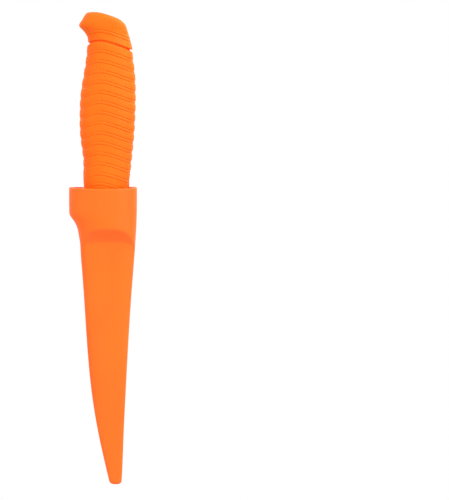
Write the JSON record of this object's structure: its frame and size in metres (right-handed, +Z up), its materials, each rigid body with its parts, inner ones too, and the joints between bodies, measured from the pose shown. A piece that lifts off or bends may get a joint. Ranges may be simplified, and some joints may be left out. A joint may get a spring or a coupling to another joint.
{
  "type": "garden knife with belt sheath",
  "caption": "Digging knife with a ribbed, beak-ended handle, seated in a moulded tapering sheath with a collar and a forked spring belt clip.",
  "frame": {"origin": "middle of the inside top of the clip's bend, where the upper edge of a belt rests", "axes": "+Z up along the hanging knife, from the sheath's tip to the end cap; +Y towards the wearer, from the sheath's front to the clip; +X towards the blade's straight edge"},
  "size_m": [0.0408, 0.0335, 0.2833],
  "materials": {
    "blade_steel": "satin ground stainless steel with bright bevels",
    "core_plastic": "orange moulded plastic",
    "grip_plastic": "fine-grained orange moulded plastic",
    "cap_plastic": "fine-grained orange moulded plastic",
    "sheath_plastic": "satin orange moulded plastic",
    "clip_plastic": "satin orange moulded plastic"
  },
  "bodies": {
    "sheath": {"sheath_shell": "sheath_plastic", "clip_strap": "clip_plastic"},
    "knife": {"blade": "blade_steel", "handle_core": "core_plastic", "grip_sleeve": "grip_plastic", "end_cap": "cap_plastic"},
    "clip_arm": {"clip_arm": "clip_plastic"}
  },
  "joints": [
    {"name": "knife_draw", "type": "slide", "parent": "sheath", "child": "knife", "axis": [0, -0.0227, 0.9997], "range_m": [0, 0.17]},
    {"name": "clip_flex", "type": "hinge", "parent": "sheath", "child": "clip_arm", "pos_m": [0, 0, -0.00175], "axis": [1, 0, 0], "range_deg": [0, 8], "stiffness_Nm_per_rad": 4}
  ]
}
